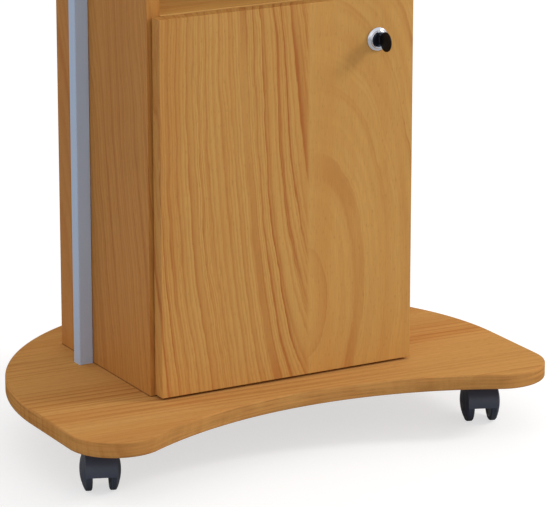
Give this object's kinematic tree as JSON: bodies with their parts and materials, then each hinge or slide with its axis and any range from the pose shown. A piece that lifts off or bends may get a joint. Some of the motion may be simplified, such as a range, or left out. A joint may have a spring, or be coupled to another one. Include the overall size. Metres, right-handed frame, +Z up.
{
  "type": "lectern podium",
  "caption": "Lectern on twin-wheel casters: lockable cupboard under an open shelf on a horseshoe base, with a height- and tilt-adjustable reading desk on side posts.",
  "frame": {"origin": "middle of the base board's plan, on the floor", "axes": "+X to the speaker's right, -Y towards the speaker (the door's side), +Z up"},
  "size_m": [0.62, 0.4679, 1.1182],
  "materials": {
    "board_light": "beech laminate, satin",
    "board_side": "beech laminate, satin",
    "board_door": "beech laminate, satin",
    "zinc": "zinc plated",
    "aluminium": "anodised, satin",
    "chrome": "polished",
    "caster_grey": "moulded, fine grain",
    "wheel_grey": "moulded",
    "pedal_dark": "moulded",
    "plug_dark": "dark nickel",
    "key_black": "moulded",
    "clear_buffer": "soft bumper",
    "knob_black": "moulded"
  },
  "bodies": {
    "cabinet": {"base_panel": "board_light", "side_panel_left": "board_side", "side_panel_right": "board_side", "back_panel": "board_side", "bottom_panel": "board_side", "divider_shelf": "board_side", "top_panel": "board_side", "loose_shelf": "board_side", "shelf_pegs": "zinc", "hinge_arm_low": "zinc", "hinge_arm_high": "zinc", "lock_strike": "zinc", "caster_fl_plate": "zinc", "caster_fr_plate": "zinc", "caster_rl_plate": "zinc", "caster_rr_plate": "zinc", "caster_screws": "zinc", "rail_left": "aluminium", "rail_right": "aluminium", "rail_screws": "zinc"},
    "door": {"door": "board_door", "door_buffers": "clear_buffer", "hinge_cup_low": "zinc", "hinge_cup_high": "zinc", "lock_body": "chrome"},
    "key": {"lock_plug": "plug_dark", "lock_cam": "zinc", "key_blade": "chrome", "key_head": "key_black"},
    "lift": {"post_left": "aluminium", "post_right": "aluminium", "post_head_left": "aluminium", "post_head_right": "aluminium", "cross_bar": "aluminium"},
    "desk": {"bracket_left": "aluminium", "bracket_right": "aluminium", "desk_panel": "board_light", "desk_ledge": "board_side"},
    "knob_left": {"height_knob_left": "knob_black"},
    "knob_right": {"height_knob_right": "knob_black"},
    "knob_tilt": {"tilt_knob": "knob_black"},
    "caster_fl": {"caster_fl_hood": "caster_grey", "caster_fl_axle": "zinc"},
    "wheel_fl_a": {"caster_fl_wheel_a": "wheel_grey"},
    "wheel_fl_b": {"caster_fl_wheel_b": "wheel_grey"},
    "caster_fr": {"caster_fr_hood": "caster_grey", "caster_fr_axle": "zinc"},
    "wheel_fr_a": {"caster_fr_wheel_a": "wheel_grey"},
    "wheel_fr_b": {"caster_fr_wheel_b": "wheel_grey"},
    "caster_rl": {"caster_rl_hood": "caster_grey", "caster_rl_axle": "zinc"},
    "wheel_rl_a": {"caster_rl_wheel_a": "wheel_grey"},
    "wheel_rl_b": {"caster_rl_wheel_b": "wheel_grey"},
    "brake_rl": {"caster_rl_brake": "pedal_dark"},
    "caster_rr": {"caster_rr_hood": "caster_grey", "caster_rr_axle": "zinc"},
    "wheel_rr_a": {"caster_rr_wheel_a": "wheel_grey"},
    "wheel_rr_b": {"caster_rr_wheel_b": "wheel_grey"},
    "brake_rr": {"caster_rr_brake": "pedal_dark"}
  },
  "joints": [
    {"name": "door_swing", "type": "hinge", "parent": "cabinet", "child": "door", "pos_m": [-0.165, -0.10383, 0.3045], "axis": [0, 0, -1], "range_deg": [0, 105]},
    {"name": "key_turn", "type": "hinge", "parent": "door", "child": "key", "pos_m": [0.117, -0.12183, 0.474], "axis": [0, 1, 0], "range_deg": [0, 90]},
    {"name": "desk_lift", "type": "slide", "parent": "cabinet", "child": "lift", "axis": [0, 0, 1], "range_m": [0, 0.2]},
    {"name": "desk_tilt", "type": "hinge", "parent": "lift", "child": "desk", "pos_m": [0, 0.05417, 1.033], "axis": [1, 0, 0], "range_deg": [-15, 15]},
    {"name": "height_knob_left_turn", "type": "hinge", "parent": "cabinet", "child": "knob_left", "pos_m": [-0.188, 0.05417, 0.738], "axis": [-1, 0, 0], "range_deg": [-360, 0]},
    {"name": "height_knob_right_turn", "type": "hinge", "parent": "cabinet", "child": "knob_right", "pos_m": [0.188, 0.05417, 0.738], "axis": [1, 0, 0], "range_deg": [0, 360]},
    {"name": "tilt_knob_turn", "type": "hinge", "parent": "desk", "child": "knob_tilt", "pos_m": [0.125, 0.05417, 1.033], "axis": [0, 0.9659, 0.2588], "range_deg": [0, 360]},
    {"name": "swivel_fl", "type": "hinge", "parent": "cabinet", "child": "caster_fl", "pos_m": [-0.253, -0.134, 0.055], "axis": [0, 0, 1], "continuous": true},
    {"name": "roll_fl_a", "type": "hinge", "parent": "caster_fl", "child": "wheel_fl_a", "pos_m": [-0.25974, -0.15069, 0.025], "axis": [0.9272, -0.3746, 0], "continuous": true},
    {"name": "roll_fl_b", "type": "hinge", "parent": "caster_fl", "child": "wheel_fl_b", "pos_m": [-0.25974, -0.15069, 0.025], "axis": [0.9272, -0.3746, 0], "continuous": true},
    {"name": "swivel_fr", "type": "hinge", "parent": "cabinet", "child": "caster_fr", "pos_m": [0.253, -0.134, 0.055], "axis": [0, 0, 1], "continuous": true},
    {"name": "roll_fr_a", "type": "hinge", "parent": "caster_fr", "child": "wheel_fr_a", "pos_m": [0.24626, -0.15069, 0.025], "axis": [0.9272, -0.3746, 0], "continuous": true},
    {"name": "roll_fr_b", "type": "hinge", "parent": "caster_fr", "child": "wheel_fr_b", "pos_m": [0.24626, -0.15069, 0.025], "axis": [0.9272, -0.3746, 0], "continuous": true},
    {"name": "swivel_rl", "type": "hinge", "parent": "cabinet", "child": "caster_rl", "pos_m": [-0.16598, 0.11494, 0.055], "axis": [0, 0, 1], "continuous": true},
    {"name": "roll_rl_a", "type": "hinge", "parent": "caster_rl", "child": "wheel_rl_a", "pos_m": [-0.17273, 0.09825, 0.025], "axis": [0.9272, -0.3746, 0], "continuous": true},
    {"name": "roll_rl_b", "type": "hinge", "parent": "caster_rl", "child": "wheel_rl_b", "pos_m": [-0.17273, 0.09825, 0.025], "axis": [0.9272, -0.3746, 0], "continuous": true},
    {"name": "brake_rl", "type": "hinge", "parent": "caster_rl", "child": "brake_rl", "pos_m": [-0.18234, 0.07446, 0.04653], "axis": [0.9272, -0.3746, 0], "range_deg": [-15, 0]},
    {"name": "swivel_rr", "type": "hinge", "parent": "cabinet", "child": "caster_rr", "pos_m": [0.16598, 0.11494, 0.055], "axis": [0, 0, 1], "continuous": true},
    {"name": "roll_rr_a", "type": "hinge", "parent": "caster_rr", "child": "wheel_rr_a", "pos_m": [0.15924, 0.09825, 0.025], "axis": [0.9272, -0.3746, 0], "continuous": true},
    {"name": "roll_rr_b", "type": "hinge", "parent": "caster_rr", "child": "wheel_rr_b", "pos_m": [0.15924, 0.09825, 0.025], "axis": [0.9272, -0.3746, 0], "continuous": true},
    {"name": "brake_rr", "type": "hinge", "parent": "caster_rr", "child": "brake_rr", "pos_m": [0.14963, 0.07446, 0.04653], "axis": [0.9272, -0.3746, 0], "range_deg": [-15, 0]}
  ]
}
